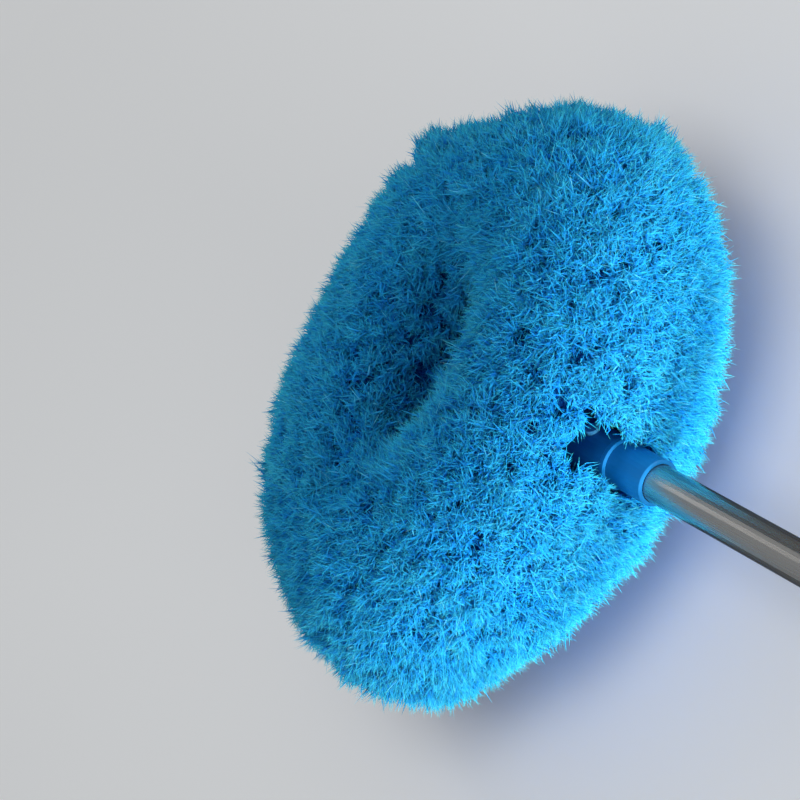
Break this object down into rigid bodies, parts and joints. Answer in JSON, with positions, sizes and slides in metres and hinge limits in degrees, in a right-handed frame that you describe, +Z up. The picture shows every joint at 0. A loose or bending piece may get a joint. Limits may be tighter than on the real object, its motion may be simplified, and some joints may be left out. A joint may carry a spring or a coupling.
{
  "type": "ceiling fan duster",
  "caption": "Oval ring of long blue microfibre pile on two bendable arms, with a central slot for a fan blade, on a telescopic steel pole with twist locks.",
  "frame": {"origin": "on the floor, under the middle of the whole duster's length, on the pole's line", "axes": "+Y from the grip to the ring along the pole, +X along the ring's long side, +Z up, square to the ring's plane"},
  "size_m": [0.3275, 0.8769, 0.1453],
  "materials": {
    "microfibre": "matte",
    "blue_plastic": "satin",
    "light_blue_plastic": "satin",
    "steel": "satin",
    "spring_steel": "satin",
    "arm_coating": "matte",
    "nylon": "satin"
  },
  "bodies": {
    "outer_section": {"outer_tube": "steel", "outer_collet": "nylon", "grip": "blue_plastic", "end_cap": "blue_plastic"},
    "outer_lock": {"outer_lock_collar": "blue_plastic"},
    "middle_section": {"middle_tube": "steel", "middle_collet": "nylon", "middle_guide": "nylon"},
    "middle_lock": {"middle_lock_collar": "blue_plastic"},
    "head_section": {"arm_coupler": "blue_plastic", "button_spring": "spring_steel", "head_socket": "blue_plastic", "hub_front_shell": "blue_plastic", "hub_rear_shell": "blue_plastic", "hub_screw_1": "spring_steel", "hub_screw_2": "spring_steel", "hub_screw_3": "spring_steel", "hub_screw_4": "spring_steel", "inner_guide": "nylon", "inner_tube": "steel", "left_arm_tube": "arm_coating", "left_arm_wire": "spring_steel", "left_pile_1": "microfibre", "left_pile_2": "microfibre", "left_pile_3": "microfibre", "left_pile_4": "microfibre", "left_pile_5": "microfibre", "left_pile_6": "microfibre", "left_wire_ferrule": "steel", "pole_connector": "blue_plastic", "right_arm_tube": "arm_coating", "right_arm_wire": "spring_steel", "right_pile_1": "microfibre", "right_pile_2": "microfibre", "right_pile_3": "microfibre", "right_pile_4": "microfibre", "right_pile_5": "microfibre", "right_pile_6": "microfibre", "right_wire_ferrule": "steel"},
    "button": {"snap_button": "light_blue_plastic"}
  },
  "joints": [
    {"name": "outer_lock_twist", "type": "hinge", "parent": "outer_section", "child": "outer_lock", "pos_m": [0, -0.08465, 0.0725], "axis": [0, 1, 0], "range_deg": [0, 90]},
    {"name": "middle_slide", "type": "slide", "parent": "outer_section", "child": "middle_section", "axis": [0, 1, 0], "range_m": [-0.036, 0.22]},
    {"name": "middle_lock_twist", "type": "hinge", "parent": "middle_section", "child": "middle_lock", "pos_m": [0, -0.00265, 0.0725], "axis": [0, 1, 0], "range_deg": [0, 90]},
    {"name": "inner_slide", "type": "slide", "parent": "middle_section", "child": "head_section", "axis": [0, 1, 0], "range_m": [-0.13, 0.155]},
    {"name": "button_press", "type": "slide", "parent": "head_section", "child": "button", "axis": [-0.6018, 0, -0.7986], "range_m": [0, 0.0036], "stiffness_N_per_m": 900, "deforming": ["button_spring"]}
  ]
}
